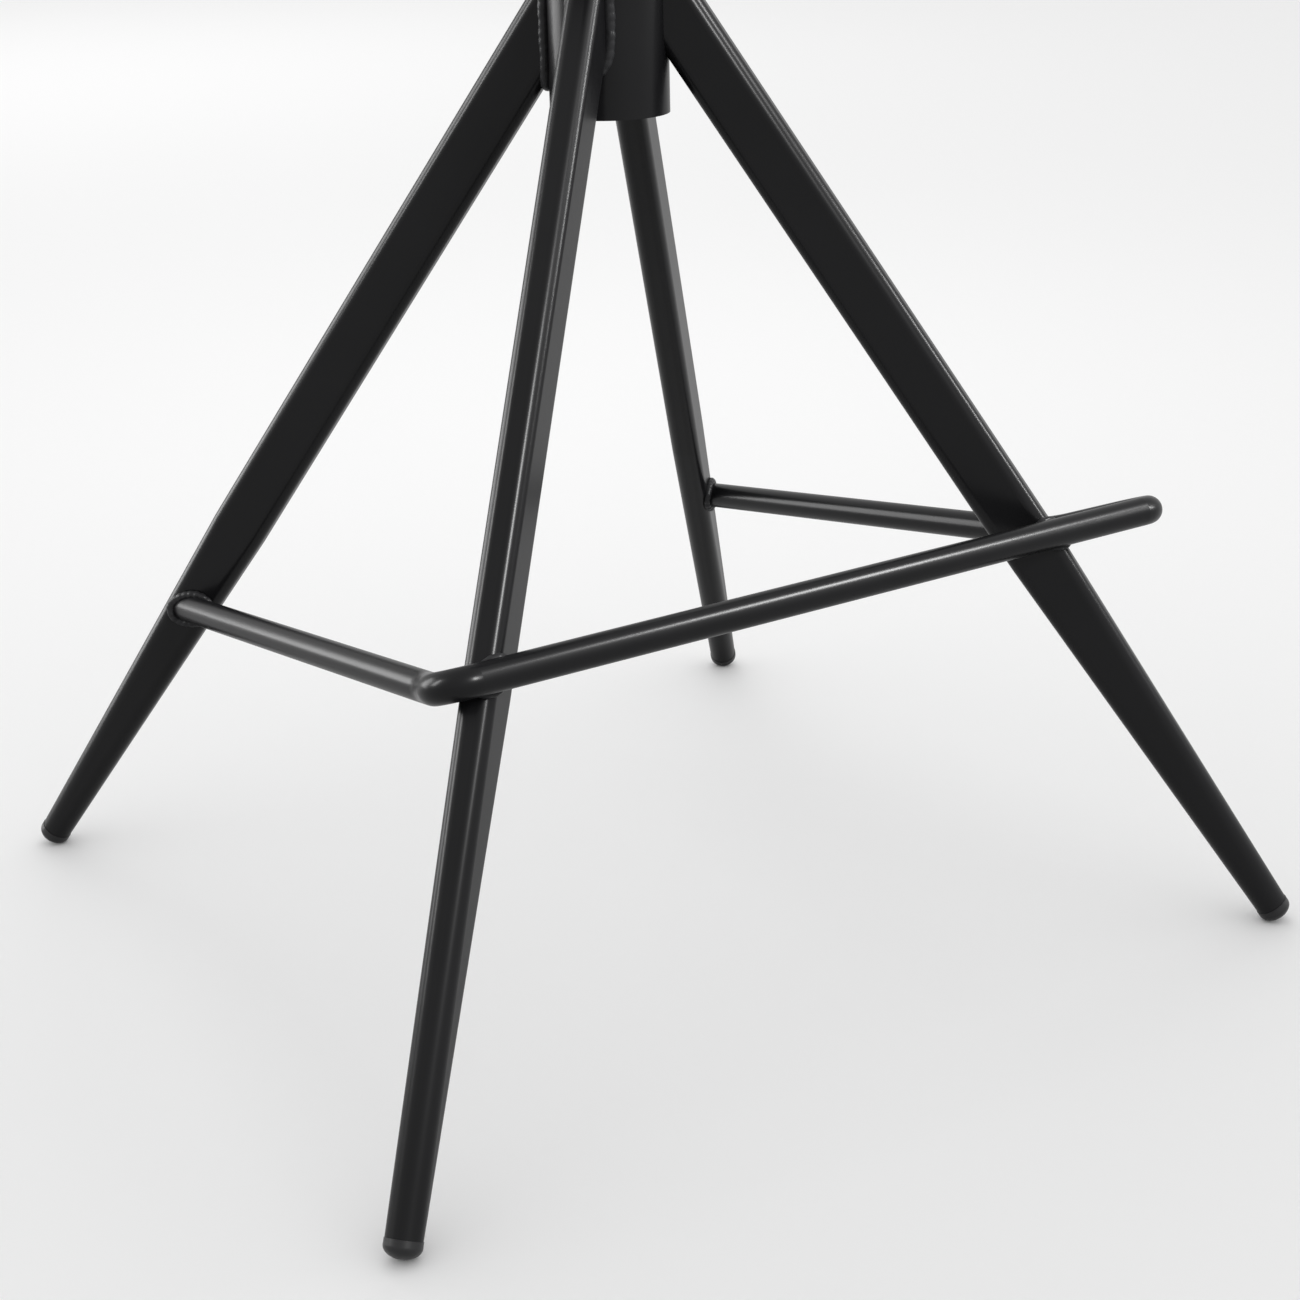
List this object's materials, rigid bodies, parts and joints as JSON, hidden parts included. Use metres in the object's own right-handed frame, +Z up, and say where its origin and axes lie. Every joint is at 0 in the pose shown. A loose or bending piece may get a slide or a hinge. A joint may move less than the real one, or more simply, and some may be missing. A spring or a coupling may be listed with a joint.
{
  "type": "swivel stool base",
  "caption": "Black steel swivel stool base: splayed tapered legs welded to a short hub tube, a bent-tube footrest, and a seat plate that turns on a spindle.",
  "frame": {"origin": "on the floor, under the hub's axis", "axes": "+Z up along the hub's axis; the footrest's bar is on the -Y side; +X to the right seen from the front; apart from the footrest's two corners the part is mirror-symmetric about the YZ plane"},
  "size_m": [0.5816, 0.5373, 0.5888],
  "materials": {
    "powder_coat": "satin black powder coat on steel tube",
    "weld": "powder-coated weld bead, rippled",
    "glide_plastic": "black moulded plastic, satin",
    "plug_plastic": "black moulded plastic",
    "bush_nylon": "natural nylon",
    "bearing_steel": "ground bearing steel",
    "cage_plastic": "moulded nylon cage",
    "spindle_steel": "turned steel, zinc plated",
    "clip_steel": "black oxide spring steel"
  },
  "bodies": {
    "frame": {"hub_tube": "powder_coat", "hub_bottom_plug": "plug_plastic", "footrest_tube": "powder_coat", "hub_weld_beads": "weld", "footrest_weld_beads": "weld", "lower_bush": "bush_nylon", "upper_bush": "bush_nylon", "lower_race": "bearing_steel", "leg_front_left": "powder_coat", "glide_front_left": "glide_plastic", "leg_front_right": "powder_coat", "glide_front_right": "glide_plastic", "leg_rear_left": "powder_coat", "glide_rear_left": "glide_plastic", "leg_rear_right": "powder_coat", "glide_rear_right": "glide_plastic"},
    "seat_head": {"spindle": "spindle_steel", "upper_race": "bearing_steel", "thrust_washer": "spindle_steel", "retaining_clip": "clip_steel", "bearing_cover": "powder_coat", "plate_boss": "powder_coat", "seat_plate": "powder_coat", "plate_weld_bead": "weld"},
    "bearing_cage": {"ball_cage": "cage_plastic", "bearing_balls": "bearing_steel"}
  },
  "joints": [
    {"name": "seat_swivel", "type": "hinge", "parent": "frame", "child": "seat_head", "pos_m": [0, 0, 0.5], "axis": [0, 0, 1], "continuous": true},
    {"name": "cage_roll", "type": "hinge", "parent": "frame", "child": "bearing_cage", "pos_m": [0, 0, 0.5], "axis": [0, 0, 1], "continuous": true}
  ],
  "couplings": [
    {"joint": "cage_roll", "follows": "seat_swivel", "ratio": 0.5}
  ]
}
